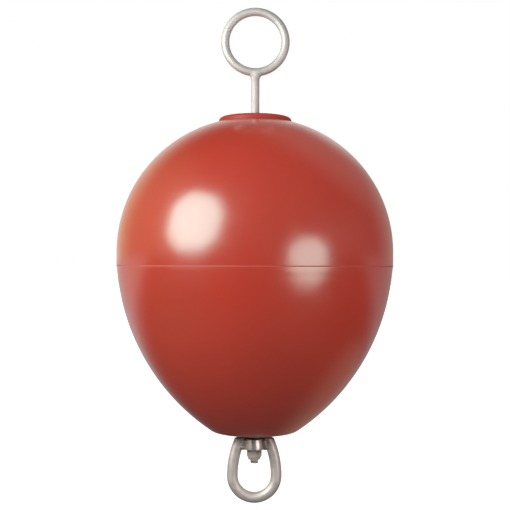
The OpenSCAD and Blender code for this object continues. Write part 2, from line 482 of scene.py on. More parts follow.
# Painted shade: the bow is painted much darker towards the tops of its legs, under the float
SWIVEL_STEEL = SteelFinish(
    name="swivel_steel", metal=0.80, tone=(0.97, 0.915, 0.89, 1.0), blotch=(0.84, 0.79, 0.77, 1.0),
    roughness=(0.50, 0.64), grain=Grain.TUMBLED, grain_per_metre=700.0, grain_depth=0.10 * MM,
    tint=(0.24, 0.205, 0.19, 1.0), tint_span=(-0.264, -0.2515), tint_most=0.9,
)
# Painted shade: the hub is painted darker towards its top, under the washer
HUB_STEEL = SteelFinish(
    name="hub_steel", metal=0.86, tone=(0.96, 0.91, 0.88, 1.0), blotch=(0.82, 0.775, 0.745, 1.0),
    roughness=(0.31, 0.41), grain=Grain.AROUND_ROD, grain_per_metre=1200.0, grain_depth=0.03 * MM,
    tint=(0.42, 0.365, 0.335, 1.0), tint_span=(-0.262, -0.252), tint_most=0.5,
)
# Painted shadow: the nut is painted darker over its top, where the hub's shadow falls
NUT_STEEL = SteelFinish(
    name="nut_steel", metal=0.94, tone=(1.0, 0.92, 0.88, 1.0), blotch=(0.90, 0.825, 0.79, 1.0),
    roughness=(0.52, 0.62), grain=Grain.TUMBLED, grain_per_metre=800.0, grain_depth=0.02 * MM,
    tint=(0.26, 0.23, 0.215, 1.0), tint_span=(-0.2755, -0.2695), tint_most=0.9,
)
WELD_STEEL = SteelFinish(
    name="weld_steel", metal=0.84, tone=(0.74, 0.685, 0.65, 1.0), blotch=(0.40, 0.355, 0.33, 1.0),
    roughness=(0.44, 0.62), grain=Grain.TUMBLED, grain_per_metre=1100.0, grain_depth=0.22 * MM,
    tint=(0.34, 0.29, 0.26, 1.0), tint_span=(-0.272, -0.256), tint_most=0.5,
)


class Outline:
    """A closed half section that a turned piece is made from, as (radius, height) points in metres."""

    def __init__(self) -> None:
        """Start with no points."""
        self.points: list[Point2] = []

    def to(self, *points: Point2) -> "Outline":
        """Go on in straight lines to one or more points."""
        self.points.extend(points)
        return self

    def arc(self, centre: Point2, radius: float, start: float, end: float, steps: int) -> "Outline":
        """Go on along an arc.

        Args:
            centre: The arc's centre.
            radius: The arc's radius.
            start: The angle that it starts at, in radians from the outward direction.
            end: The angle that it ends at.
            steps: How many straight steps it is drawn with.

        Returns:
            This outline, so that calls can follow each other.
        """
        for i in range(steps + 1):
            angle = start + (end - start) * i / steps
            self.points.append((centre[0] + radius * math.cos(angle), centre[1] + radius * math.sin(angle)))
        return self


def object_from(name: str, bm: bmesh.types.BMesh, sharp: float = SHARP_ANGLE) -> Piece:
    """Turn a bmesh into a smooth object with outward faces at the origin.

    Args:
        name: The piece's name.
        bm: The mesh, which is freed.
        sharp: The angle above which an edge stays sharp.

    Returns:
        The new object, linked to the scene.
    """
    bmesh.ops.remove_doubles(bm, verts=bm.verts, dist=SAME_POINT)
    bmesh.ops.recalc_face_normals(bm, faces=bm.faces)
    for face in bm.faces:
        face.smooth = True
    mesh = bpy.data.meshes.new(name)
    bm.to_mesh(mesh)
    bm.free()
    mesh.set_sharp_from_angle(angle=sharp)
    piece = bpy.data.objects.new(name, mesh)
    bpy.context.scene.collection.objects.link(piece)
    return piece


def skinned(name: str, rings: list[list[Point3]], joined: bool, sharp: float = SHARP_ANGLE) -> Piece:
    """Join rings of points with four-sided faces to one closed piece.

    Args:
        name: The piece's name.
        rings: Closed rings with the same number of points.
        joined: Whether the last ring joins the first; if not, both ends are closed with a face.
        sharp: The angle above which an edge stays sharp.

    Returns:
        The piece.
    """
    bm = bmesh.new()
    rows = [[bm.verts.new(point) for point in ring] for ring in rings]
    count = len(rows[0])
    pairs = list(zip(rows, rows[1:]))
    if joined:
        pairs.append((rows[-1], rows[0]))
    for low, high in pairs:
        for i in range(count):
            j = (i + 1) % count
            bm.faces.new((low[i], low[j], high[j], high[i]))
    if not joined:
        bm.faces.new(rows[0])
        bm.faces.new(rows[-1])
    return object_from(name, bm, sharp)


def turned(name: str, outline: Outline, segments: int) -> Piece:
    """Turn a closed half section about the Z axis.

    Args:
        name: The piece's name.
        outline: The half section, clear of the axis.
        segments: How many steps make a full turn.

    Returns:
        The turned piece.
    """
    rings = []
    for radius, height in outline.points:
        steps = (TURN * i / segments for i in range(segments))
        rings.append([(radius * math.cos(a), radius * math.sin(a), height) for a in steps])
    return skinned(name, rings, joined=True)


def settle(piece: Piece, material: Material, body: Body, slot: str, *nodes: str) -> None:
    """Dress a piece, put it on its body and hide the solids that it replaces.

    Args:
        piece: The finished piece.
        material: Its material.
        body: The body that it rides on.
        slot: Not used.
        nodes: The solids that it replaces.
    """
    piece.data.materials.clear()
    piece.data.materials.append(material)
    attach(piece, body.value)
    if nodes:
        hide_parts(*nodes)
    LOG.info("piece %s on %s: %d faces", piece.name, body.value, len(piece.data.polygons))


class NodeTree:
    """A Geometry Nodes tree that is built in the script and baked to a plain mesh."""

    def __init__(self, name: str) -> None:
        """Start a tree whose input and output are geometry.

        Args:
            name: The tree's name.
        """
        self.tree = bpy.data.node_groups.new(name, "GeometryNodeTree")
        face = self.tree.interface
        face.new_socket("Geometry", in_out="INPUT", socket_type="NodeSocketGeometry")
        face.new_socket("Geometry", in_out="OUTPUT", socket_type="NodeSocketGeometry")
        self.start = self.tree.nodes.new("NodeGroupInput")
        self.end = self.tree.nodes.new("NodeGroupOutput")
        self.values: dict[str, float | int | Material] = {}

    def input(self, name: str, kind: str, value: float | int | Material) -> Socket:
        """Add a named input.

        Args:
            name: The input's name.
            kind: Float, Int or Material.
            value: What the baked piece uses.

        Returns:
            The socket to join to other nodes.
        """
        item = self.tree.interface.new_socket(name, in_out="INPUT", socket_type="NodeSocket" + kind)
        self.values[item.identifier] = value
        return self.start.outputs[name]

    def add(self, kind: str, **sockets: Socket | float | int | Point3) -> bpy.types.Node:
        """Add a node and set or join its inputs.

        Args:
            kind: The node's type without its prefix.
            sockets: Inputs by name, with underscores for spaces.

        Returns:
            The new node.
        """
        node = self.tree.nodes.new("GeometryNode" + kind)
        for key, value in sockets.items():
            self.join(node, key.replace("_", " "), value)
        return node

    def join(self, node: bpy.types.Node, name: str, value: Socket | float | int | Point3) -> None:
        """Set or join one input of a node.

        Args:
            node: The node.
            name: The input's name.
            value: What it is set to, or the output that it is joined to.
        """
        socket = next(s for s in node.inputs if s.name == name and s.enabled)
        if isinstance(value, Socket):
            self.tree.links.new(value, socket)
        else:
            socket.default_value = value

    def circle(self, points: int, radius: Socket) -> Socket:
        """Add a circle.

        Args:
            points: How many points it is drawn with.
            radius: Its radius.

        Returns:
            The circle as a curve.
        """
        node = self.tree.nodes.new("GeometryNodeCurvePrimitiveCircle")
        node.mode = "RADIUS"
        self.join(node, "Resolution", points)
        self.join(node, "Radius", radius)
        return node.outputs[0]

    def bake(self, name: str, last: Socket, base: bpy.types.Mesh, finish: Material) -> Piece:
        """Close the tree, run it once and keep the result as a plain mesh.

        Args:
            name: The finished piece's name.
            last: The geometry that the tree ends in.
            base: The mesh that the tree starts from.
            finish: The material that the tree sets.

        Returns:
            A new object with a plain mesh and no modifier.
        """
        metal = self.input("Finish", "Material", finish)
        real = self.add("RealizeInstances", Geometry=last)
        smooth = self.add("SetShadeSmooth", Geometry=real.outputs[0])
        dressed = self.add("SetMaterial", Geometry=smooth.outputs[0], Material=metal)
        self.tree.links.new(dressed.outputs[0], self.end.inputs[0])
        carrier = bpy.data.objects.new(name + "_path", base)
        bpy.context.scene.collection.objects.link(carrier)
        modifier = carrier.modifiers.new("nodes", "NODES")
        modifier.node_group = self.tree
        for identifier, value in self.values.items():
            modifier[identifier] = value
        graph = bpy.context.evaluated_depsgraph_get()
        mesh = bpy.data.meshes.new_from_object(carrier.evaluated_get(graph))
        carrier.modifiers.clear()
        bpy.data.objects.remove(carrier)
        bm = bmesh.new()
        bm.from_mesh(mesh)
        bpy.data.meshes.remove(mesh)
        return object_from(name, bm)


def path_mesh(name: str, *paths: list[Point3]) -> bpy.types.Mesh:
    """Make a mesh of edges that run along open paths.

    Args:
        name: The mesh's name.
        paths: The points of each path in order.

    Returns:
        The mesh.
    """
    points: list[Point3] = []
    edges: list[tuple[int, int]] = []
    for path in paths:
        first = len(points)
        points += path
        edges += [(i, i + 1) for i in range(first, len(points) - 1)]
    mesh = bpy.data.meshes.new(name)
    mesh.from_pydata(points, edges, [])
    return mesh


@dataclass
class FloatBody:
    """The two moulded halves of the float and the collar on its crown."""

    radius: float
    crown: float
    boss_low: float
    collar_top: float
    collar_radius: float
    bore: float
    base: float = -240.0 * MM
    boss_radius: float = 20.0 * MM
    equator: float = 20.0 * MM
    upper_arc: float = 194.5 * MM
    lower_arc: float = 313.0 * MM
    base_round: float = 13.0 * MM
    crown_round: float = 12.0 * MM
    wall: float = 4.0 * MM
    skirt_edge: float = 0.15 * MM
    lip: float = 0.55 * MM
    lip_drop: float = 9.0 * MM
    rim_edge: float = 0.3 * MM
    rim_depth: float = 0.2 * MM
    tongue: float = 3.5 * MM
    lap: float = 14.0 * MM
    lap_gap: float = 0.15 * MM
    boss_round: float = 2.0 * MM
    collar_round: float = 5.0 * MM
    edge: float = 0.6 * MM
    segments: int = 224
    arc_steps: int = 84
    inner_steps: int = 24
    rim_steps: int = 8
    # Angles left out where two arcs meet, so that their points keep apart
    arc_gap: float = 0.004
    base_gap: float = 0.04

    @classmethod
    def from_frame(cls) -> "FloatBody":
        """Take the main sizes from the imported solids.

        Returns:
            The float with its sizes.
        """
        _, upper_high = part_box("upper_shell")
        lower_low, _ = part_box("lower_shell")
        _, collar_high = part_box("top_collar")
        _, rod_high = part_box("center_rod")
        return cls(
            radius=upper_high[0],
            crown=upper_high[2],
            boss_low=lower_low[2],
            collar_top=collar_high[2],
            collar_radius=collar_high[0],
            bore=rod_high[0] + ROD_CLEARANCE,
        )

    def rounding(self, arc: float, flat: float, radius: float) -> tuple[Point2, float]:
        """Find the circle that rounds an arc of the float off into a flat.

        Args:
            arc: The arc's radius; its centre lies on the equator.
            flat: The flat's height.
            radius: The rounding's radius.

        Returns:
            The rounding's centre, and the angle at which it meets the arc.
        """
        side = math.copysign(1.0, flat)
        centre_x = self.radius - (self.lower_arc if side < 0 else self.upper_arc)
        height = flat - side * radius
        reach = math.sqrt((arc - radius) ** 2 - (height - self.equator) ** 2)
        return (centre_x + reach, height), math.atan2(height - self.equator, reach)

    def upper_outline(self) -> Outline:
        """Draw the upper half: crown, dome, skirt, and the same set in by the wall.

        Returns:
            The half section.
        """
        centre = (self.radius - self.upper_arc, self.equator)
        corner, meet = self.rounding(self.upper_arc, self.crown, self.crown_round)
        inner = self.upper_arc - self.wall
        ceiling = self.crown - self.wall
        inner_meet = math.asin((ceiling - self.equator) / inner)
        line = Outline().to((self.bore, self.crown))
        line.arc(corner, self.crown_round, UP, meet, steps=6)
        line.arc(centre, self.upper_arc, meet - self.arc_gap, OUT, self.arc_steps)
        line.arc((self.radius - self.skirt_edge, self.skirt_edge), self.skirt_edge, OUT, DOWN, steps=5)
        line.to((self.radius - self.wall, 0.0))
        line.arc(centre, inner, OUT, inner_meet, self.inner_steps)
        return line.to((self.bore, ceiling))

    def rim_points(self) -> list[Point2]:
        """Draw the eased rim of the lower half, which stands out from its taper by the lip.

        Returns:
            Points from the seam outwards and down.
        """
        reach = self.radius - self.lower_arc + math.sqrt(self.lower_arc**2 - self.equator**2) + self.lip
        points = []
        for i in range(self.rim_steps + 1):
            angle = math.pi / 2 * i / self.rim_steps
            set_in = self.rim_depth * (1.0 - math.sin(angle))
            points.append((reach - set_in, self.rim_edge * (math.cos(angle) - 1.0)))
        return points

    def lower_outline(self) -> Outline:
        """Draw the lower half: rim, taper, base, boss, and the inside with the tongue.

        Returns:
            The half section.
        """
        centre = (self.radius - self.lower_arc, self.equator)
        corner, meet = self.rounding(self.lower_arc, self.base, self.base_round)
        start = -math.asin((self.equator + self.lip_drop) / self.lower_arc)
        inner = self.lower_arc - self.wall
        floor = self.base + self.wall
        inner_round = self.base_round - self.wall
        inner_corner, inner_meet = self.rounding(inner, floor, inner_round)
        inner_start = -math.asin((self.equator + self.lap) / inner)
        boss = self.boss_round
        line = Outline().to(*self.rim_points())
        line.arc(centre, self.lower_arc, start - self.arc_gap, meet, self.arc_steps)
        line.arc(corner, self.base_round, meet - self.base_gap, DOWN, steps=8)
        line.arc((self.boss_radius + boss, self.base - boss), boss, UP, IN, steps=5)
        line.arc((self.boss_radius - boss, self.boss_low + boss), boss, OUT, DOWN, steps=6)
        line.to((self.bore, self.boss_low), (self.bore, floor))
        line.arc(inner_corner, inner_round, DOWN, inner_meet, steps=6)
        line.arc(centre, inner, inner_meet + self.arc_gap, inner_start, self.inner_steps)
        outer = self.radius - self.wall - self.lap_gap
        tongue = outer - self.tongue
        return line.to((tongue, -self.lap), (tongue, self.lap), (outer, self.lap), (outer, 0.0))

    def collar_outline(self) -> Outline:
        """Draw the collar: a disc with a rounded rim and an eased bore.

        Returns:
            The half section.
        """
        rim, top, ease = self.collar_radius, self.collar_top, 2.0 * self.edge
        line = Outline().to((self.bore, self.crown))
        line.arc((rim - self.edge, self.crown + self.edge), self.edge, DOWN, OUT, steps=4)
        line.arc((rim - self.collar_round, top - self.collar_round), self.collar_round, OUT, UP, steps=14)
        return line.to((self.bore + ease, top), (self.bore, top - ease))

    def build(self) -> None:
        """Make both halves and the collar and put them on the buoy."""
        red = FLOAT_RED.build()
        upper = turned("upper_half", self.upper_outline(), self.segments)
        settle(upper, red, Body.BUOY, "float_red", "upper_shell")
        lower = turned("lower_half", self.lower_outline(), self.segments)
        settle(lower, red, Body.BUOY, "float_red", "lower_shell")
        collar = turned("crown_collar", self.collar_outline(), self.segments)
        settle(collar, SHADED_COLLAR_RED.build(), Body.BUOY, "collar_red", "top_collar")


@dataclass
class RodAndRing:
    """The through-rod with its threaded end, the ring of bar and the weld between them."""

    rod_radius: float
    stud_low: float
    nut_low: float
    ring_mid: float
    ring_radius: float
    bar_radius: float
    stud_bevel: float = 0.8 * MM
    pitch: float = 1.75 * MM
    thread_depth: float = 0.6 * MM
    thread_hidden: float = 2.0 * MM
    weld_toe: float = 4.0 * MM
    weld_reach: float = 9.3 * MM
    weld_side: float = math.radians(125.0)
    # How the weld's toe wanders on the rod, how its fillet bends and swells, and how deep its root lies
    weld_wander: float = 0.4 * MM
    weld_wanders: float = 3.0
    weld_lift: float = 0.02 * MM
    weld_bend: Point2 = (1.04, 1.10)
    weld_sag: float = 0.6 * MM
    weld_tilt: float = 0.6
    weld_crown: float = 0.5 * MM
    weld_root: float = 0.8
    weld_bury: float = 0.5 * MM
    weld_around: int = 240
    weld_across: int = 14
    weld_sharp: float = math.radians(60.0)
    ripple: float = 0.28 * MM
    ripples: int = 30
    ripple_lag: float = 2.2
    segments: int = 64
    thread_steps: int = 48
    thread_sides: int = 4
    ring_steps: int = 192
    bar_steps: int = 48

    @classmethod
    def from_frame(cls) -> "RodAndRing":
        """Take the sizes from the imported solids.

        Returns:
            The rod and ring with their sizes.
        """
        rod_low, rod_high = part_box("center_rod")
        nut_low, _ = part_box("lock_nut")
        ring_low, ring_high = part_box("top_ring")
        bar = ring_high[1]
        return cls(
            rod_radius=rod_high[0],
            stud_low=rod_low[2],
            nut_low=nut_low[2],
            ring_mid=(ring_low[2] + ring_high[2]) / 2.0,
            ring_radius=ring_high[0] - bar,
            bar_radius=bar,
        )

    def underside(self, x: float, y: float) -> float:
        """Find the ring's underside above a point near the axis.

        Args:
            x: The point's place along the ring.
            y: The point's place across the ring.

        Returns:
            The underside's height.
        """
        side = max(self.bar_radius**2 - y**2, 0.0)
        reach = self.ring_radius + math.sqrt(side)
        return self.ring_mid - math.sqrt(reach**2 - x**2)

    def rod(self) -> Piece:
        """Make the rod: smooth bar above, thread core at the stud, its top fitted to the ring.

        Returns:
            The rod.
        """
        core = self.rod_radius - self.thread_depth
        thread_top = self.nut_low + self.thread_hidden
        top = self.ring_mid - self.ring_radius - self.bar_radius / 2.0
        profile = [
            (core, self.stud_low),
            (core, thread_top),
            (self.rod_radius, thread_top + self.thread_depth),
            (self.rod_radius, top),
        ]
        rings = []
        for radius, height in profile:
            points = []
            for i in range(self.segments):
                x = radius * math.cos(TURN * i / self.segments)
                y = radius * math.sin(TURN * i / self.segments)
                z = min(self.underside(x, y), top) if height == top else height
                points.append((x, y, z))
            rings.append(points)
        return skinned("through_rod", rings, joined=False)

    def thread(self, finish: Material) -> Piece:
        """Make the thread on the stud as a helix with a V section.

        Args:
            finish: The steel that it is dressed in.

        Returns:
            The thread.
        """
        length = self.nut_low + self.thread_hidden - self.stud_low - self.stud_bevel
        tree = NodeTree("stud_thread")
        core = tree.input("Core Radius", "Float", self.rod_radius - self.thread_depth)
        turns = tree.input("Turns", "Float", length / self.pitch)
        rise = tree.input("Length", "Float", length)
        depth = tree.input("Thread Depth", "Float", self.thread_depth)
        helix = tree.add("CurveSpiral", Resolution=self.thread_steps, Rotations=turns, Height=rise)
        tree.join(helix, "Start Radius", core)
        tree.join(helix, "End Radius", core)
        ridge = tree.circle(self.thread_sides, depth)
        swept = tree.add("CurveToMesh", Curve=helix.outputs[0], Profile_Curve=ridge, Fill_Caps=True)
        start = (0.0, 0.0, self.stud_low + self.stud_bevel)
        placed = tree.add("Transform", Geometry=swept.outputs[0], Translation=start)
        return tree.bake("stud_thread", placed.outputs[0], path_mesh("thread_start", [ORIGIN]), finish)

    def ring(self, finish: Material) -> Piece:
        """Make the ring as round bar swept along a circle.

        Args:
            finish: The steel that it is dressed in.

        Returns:
            The ring.
        """
        tree = NodeTree("bar_ring")
        path = tree.circle(self.ring_steps, tree.input("Ring Radius", "Float", self.ring_radius))
        section = tree.circle(self.bar_steps, tree.input("Bar Radius", "Float", self.bar_radius))
        swept = tree.add("CurveToMesh", Curve=path, Profile_Curve=section)
        placed = tree.add(
            "Transform", Geometry=swept.outputs[0], Translation=(0.0, 0.0, self.ring_mid),
            Rotation=(math.pi / 2, 0.0, 0.0),
        )
        return tree.bake("top_ring_bar", placed.outputs[0], path_mesh("ring_start", [ORIGIN]), finish)

    def on_ring(self, along: float, around: float, proud: float) -> Point3:
        """Find a point on the ring's bar near the rod.

        Args:
            along: Distance along the ring from the rod's axis.
            around: Angle round the bar from its underside.
            proud: Height above the bar's surface.

        Returns:
            The point.
        """
        turn = along / (self.ring_radius + self.bar_radius)
        radius = self.bar_radius + proud
        reach = self.ring_radius + radius * math.cos(around)
        return (reach * math.sin(turn), radius * math.sin(around), self.ring_mid - reach * math.cos(turn))

    def weld(self) -> Piece:
        """Make the weld: a hollow fillet with ripples from the rod up onto the ring's bar.

        Returns:
            The weld.
        """
        toe = self.ring_mid - self.ring_radius - self.bar_radius - self.weld_toe
        inner = self.weld_root * self.rod_radius
        wide, deep = self.weld_bend
        rings = []
        for i in range(self.weld_around):
            angle = TURN * i / self.weld_around
            c, s = math.cos(angle), math.sin(angle)
            lower = Vector((self.rod_radius * c, self.rod_radius * s, toe))
            lower.z += self.weld_wander * math.sin(self.weld_wanders * angle)
            upper = Vector(self.on_ring(self.weld_reach * c, self.weld_side * s, self.weld_lift))
            bend = Vector((wide * self.rod_radius * c, deep * self.rod_radius * s, 0.0))
            bend.z = min(self.underside(bend.x, bend.y), upper.z) - self.weld_sag
            outward = Vector((c, s, -self.weld_tilt)).normalized()
            wave = math.sin(angle * self.ripples)
            ring = []
            for k in range(self.weld_across + 1):
                t = k / self.weld_across
                point = lower * (1 - t) ** 2 + bend * (2 * t * (1 - t)) + upper * t**2
                skew = math.sin(angle * self.ripples + self.ripple_lag * t)
                proud = self.weld_crown + self.ripple * (wave + skew) / 2.0
                ring.append(tuple(point + outward * math.sin(math.pi * t) * proud))
            ring.append((inner * c, inner * s, self.underside(inner * c, inner * s) + self.weld_bury))
            rings.append(ring)
        return skinned("ring_weld_bead", rings, joined=True, sharp=self.weld_sharp)

    def build(self) -> None:
        """Make the rod, thread, ring and weld and put them on the buoy."""
        rod_steel = ROD_STEEL.build()
        settle(self.rod(), rod_steel, Body.BUOY, "rod_steel", "center_rod")
        shaded_thread_steel = SHADED_THREAD_STEEL.build()
        settle(self.thread(shaded_thread_steel), shaded_thread_steel, Body.BUOY, "rod_steel")
        ring_steel = RING_STEEL.build()
        settle(self.ring(ring_steel), ring_steel, Body.BUOY, "rod_steel", "top_ring")
        settle(self.weld(), ring_steel, Body.BUOY, "weld_steel", "ring_weld")


@dataclass
class LockNut:
    """The hexagon lock nut with its crimped collar and plastic ring, and the washer above the hub."""

    top: float
    low: float
    bore: float
    washer_radius: float
    washer_top: float
    washer_low: float
    flats: float = 19.0 * MM
    hex_height: float = 11.0 * MM
    bevel: float = 0.3 * MM
    crimp_radius: float = 9.2 * MM
    mouth_radius: float = 9.0 * MM
    insert_radius: float = 7.2 * MM
    insert_height: float = 2.6 * MM
    insert_proud: float = 1.2 * MM
    insert_inner_round: float = 0.4 * MM
    insert_outer_round: float = 0.6 * MM
    insert_gap: float = 0.05 * MM
    mouth_round: float = 0.8 * MM
    mouth_depth: float = 0.2 * MM
    crimp_neck: float = 0.3 * MM
    crimp_flare: float = 0.1 * MM
    bore_ease: float = 0.6 * MM
    washer_edge: float = 0.7 * MM
    turn: float = math.radians(20.0 - 90.0)
    face_radius: float = 8.8 * MM
    face_height: float = 0.7 * MM
    segments: int = 240
    round_segments: int = 128
    insert_segments: int = 96
    bevel_steps: int = 10
    sharp: float = math.radians(20.0)

    @classmethod
    def from_frame(cls) -> "LockNut":
        """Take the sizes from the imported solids.

        Returns:
            The nut with its sizes.
        """
        low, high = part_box("lock_nut")
        washer_low, washer_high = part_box("thrust_washer")
        _, rod_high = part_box("center_rod")
        return cls(
            top=high[2],
            low=low[2],
            bore=rod_high[0] + ROD_CLEARANCE,
            washer_radius=washer_high[0],
            washer_top=washer_high[2],
            washer_low=washer_low[2],
        )

    def hexagon(self, angle: float) -> float:
        """Find how far the hexagon's side lies from the axis.

        Args:
            angle: The direction, in radians from +X.

        Returns:
            The distance.
        """
        sixth = TURN / 6.0
        off = (angle - self.turn) % sixth - sixth / 2.0
        return self.flats / 2.0 / math.cos(off)

    def outline(self) -> Outline:
        """Draw the shape that the hexagon bar is turned to, with its bore.

        Returns:
            The half section.
        """
        face = self.flats / 2.0 - self.bevel
        half_side = TURN / 12.0
        reach = self.flats / 2.0 / math.cos(half_side)
        drop = (reach - face) * math.tan(half_side)
        hex_low = self.top - self.hex_height
        hex_top = self.top - self.face_height
        seat = self.low + self.insert_height
        shares = [i / self.bevel_steps for i in range(self.bevel_steps + 1)]
        line = Outline().to((self.bore, seat), (self.insert_radius, seat))
        line.to((self.insert_radius, self.low + self.mouth_depth))
        mouth = (self.mouth_radius - self.mouth_round, self.low + self.mouth_round)
        line.arc(mouth, self.mouth_round, DOWN, OUT, steps=6)
        line.to((self.crimp_radius, hex_low - self.crimp_neck))
        line.to((self.crimp_radius + self.crimp_flare, hex_low))
        line.to(*[(face + (reach - face) * share, hex_low + drop * share) for share in shares])
        line.to(*[(reach - (reach - face) * share, hex_top - drop + drop * share) for share in shares])
        line.to((self.face_radius, hex_top), (self.face_radius, self.top))
        return line.to((self.bore + self.bore_ease, self.top), (self.bore, self.top - self.bore_ease))

    def nut(self) -> Piece:
        """Make the nut: the turned outline cut back to the hexagon's sides.

        Returns:
            The nut.
        """
        rings = []
        for radius, height in self.outline().points:
            ring = []
            for i in range(self.segments):
                angle = self.turn + TURN * i / self.segments
                reach = min(radius, self.hexagon(angle))
                ring.append((reach * math.cos(angle), reach * math.sin(angle), height))
            rings.append(ring)
        return skinned("hexagon_nut", rings, joined=True, sharp=self.sharp)

    def insert(self) -> Piece:
        """Make the plastic ring in the nut's mouth.

        Returns:
            The ring.
        """
        outer = self.insert_radius - self.insert_gap
        low, seat = self.low - self.insert_proud, self.low + self.insert_height
        inner_round, outer_round = self.insert_inner_round, self.insert_outer_round
        line = Outline().to((self.bore, seat), (self.bore, low + inner_round))
        line.arc((self.bore + inner_round, low + inner_round), inner_round, IN, 1.5 * math.pi, steps=4)
        line.arc((outer - outer_round, low + outer_round), outer_round, DOWN, OUT, steps=4)
        return turned("nut_locking_ring", line.to((outer, seat)), self.insert_segments)

    def washer(self) -> Piece:
        """Make the thrust washer with eased edges.

        Returns:
            The washer.
        """
        edge = self.washer_edge
        line = Outline().to((self.bore, self.washer_low))
        line.arc((self.washer_radius - edge, self.washer_low + edge), edge, DOWN, OUT, steps=4)
        line.arc((self.washer_radius - edge, self.washer_top - edge), edge, OUT, UP, steps=4)
        return turned("black_washer", line.to((self.bore, self.washer_top)), self.round_segments)

    def build(self) -> None:
        """Make the nut, its ring and the washer and put them on the buoy."""
        settle(self.nut(), NUT_STEEL.build(), Body.BUOY, "nut_steel", "lock_nut")
        settle(self.insert(), INSERT_NYLON.build(), Body.BUOY, "insert_nylon", "nut_insert")
        settle(self.washer(), WASHER_BLACK.build(), Body.BUOY, "washer_black", "thrust_washer")


@dataclass
class Swivel:
    """The hub that turns on the rod, the bent bar welded to it and the weld beads."""

    hub_top: float
    hub_low: float
    bow_low: float
    bow_half: float
    bar: float
    leg_top: float
    bore: float
    hub_top_radius: float = 13.5 * MM
    hub_radius: float = 15.5 * MM
    hub_bevel: float = 1.5 * MM
    leg_arc: float = 130.0 * MM
    clear_radius: float = 16.0 * MM
    end_ease: float = 1.6 * MM
    bead_radius: float = 5.0 * MM
    bead_lap: float = 1.0 * MM
    bead_pitch: float = 1.5 * MM
    bead_foot: float = 0.75
    bead_steps: int = 8
    ripple_least: Point3 = (1.12, 0.94, 0.80)
    ripple_most: Point3 = (1.30, 1.06, 1.04)
    ripple_segments: int = 28
    ripple_rings: int = 14
    ripple_seed: int = 4
    bore_ease: float = 0.5 * MM
    hub_lean: float = 0.1
    hub_segments: int = 128
    leg_end: float = 7.0 * MM
    leg_steps: int = 40
    end_steps: int = 6
    bend_steps: int = 72
    sides: int = 56
    sharp: float = math.radians(40.0)

    @classmethod
    def from_frame(cls) -> "Swivel":
        """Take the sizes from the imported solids.

        Returns:
            The swivel with its sizes.
        """
        hub_low, hub_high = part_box("swivel_hub")
        bow_low, bow_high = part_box("swivel_bow")
        _, rod_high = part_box("center_rod")
        return cls(
            hub_top=hub_high[2],
            hub_low=hub_low[2],
            bow_low=bow_low[2],
            bow_half=bow_high[0],
            bar=bow_high[1],
            leg_top=bow_high[2],
            bore=rod_high[0] + HUB_CLEARANCE,
        )

    @property
    def bend(self) -> float:
        """Radius of the bar's middle line round the bottom of the bow."""
        return self.bow_half - self.bar

    @property
    def mid(self) -> float:
        """Height at which the bottom bend runs into the legs."""
        return self.bow_low + self.bow_half

    def leg_x(self, height: float) -> float:
        """Return how far the middle of a leg lies from the axis at a height."""
        return self.bend - self.leg_arc + math.sqrt(self.leg_arc**2 - (height - self.mid) ** 2)

    def hub_r(self, height: float) -> float:
        """Return the radius of the hub's side at a height."""
        share = (self.hub_top - height) / (self.hub_top - self.hub_low)
        return self.hub_top_radius + (self.hub_radius - self.hub_top_radius) * share

    def hub(self) -> Piece:
        """Make the hub with bevelled rims and an eased bore.

        Returns:
            The hub.
        """
        ease, bevel = self.bore_ease, self.hub_bevel
        line = Outline().to((self.bore, self.hub_low + ease), (self.bore + ease, self.hub_low))
        line.to((self.hub_radius - bevel, self.hub_low))
        line.arc((self.hub_radius - bevel, self.hub_low + bevel), bevel, DOWN, self.hub_lean, steps=6)
        line.arc((self.hub_top_radius - bevel, self.hub_top - bevel), bevel, self.hub_lean, UP, steps=6)
        line.to((self.bore + ease, self.hub_top), (self.bore, self.hub_top - ease))
        return turned("swivel_bush", line, self.hub_segments)

    def section(self, middle: Vector, across: Vector, scale: float = 1.0) -> list[Point3]:
        """Draw the bar's section.

        Args:
            middle: The section's middle.
            across: Direction across the bar in the bow's plane, longer than 1 where the cut is slanted.
            scale: The section's size as a share of the bar's.

        Returns:
            A ring of points, each held clear of the washer.
        """
        ring = []
        for i in range(self.sides):
            angle = TURN * i / self.sides
            outward = across * math.cos(angle) + Vector((0.0, 1.0, 0.0)) * math.sin(angle)
            point = middle + outward * self.bar * scale
            off = math.hypot(point.x, point.y)
            if point.z > self.hub_top - self.hub_bevel and off < self.clear_radius:
                point.x *= self.clear_radius / off
                point.y *= self.clear_radius / off
            ring.append(tuple(point))
        return ring

    def leg_rings(self, side: int) -> list[list[Point3]]:
        """Draw a leg's sections from the bottom bend up to its level, eased end.

        Args:
            side: 1 for the right leg, -1 for the left.

        Returns:
            The rings in order.
        """
        centre = Vector((self.bend - self.leg_arc, 0.0, self.mid))
        last = math.asin((self.leg_top - self.mid) / self.leg_arc)
        stop = last - self.leg_end / self.leg_arc
        rings = []

        def mirrored(vector: Vector) -> Vector:
            """Put a vector on the leg's own side."""
            return Vector((side * vector.x, vector.y, vector.z))

        for i in range(1, self.leg_steps + 1):
            angle = stop * i / self.leg_steps
            out = Vector((math.cos(angle), 0.0, math.sin(angle)))
            rings.append(self.section(mirrored(centre + out * self.leg_arc), mirrored(out)))
        lean = math.cos(last)
        end = centre + Vector((lean, 0.0, math.sin(last))) * self.leg_arc
        slope = Vector((math.sin(last) / lean, 0.0, -1.0))
        level = mirrored(Vector((1.0 / lean, 0.0, 0.0)))
        for i in range(self.end_steps + 1):
            angle = math.pi / 2 * i / self.end_steps
            drop = self.end_ease * (1.0 - math.sin(angle))
            scale = 1.0 - self.end_ease * (1.0 - math.cos(angle)) / self.bar
            rings.append(self.section(mirrored(end + slope * drop), level, scale))
        return rings

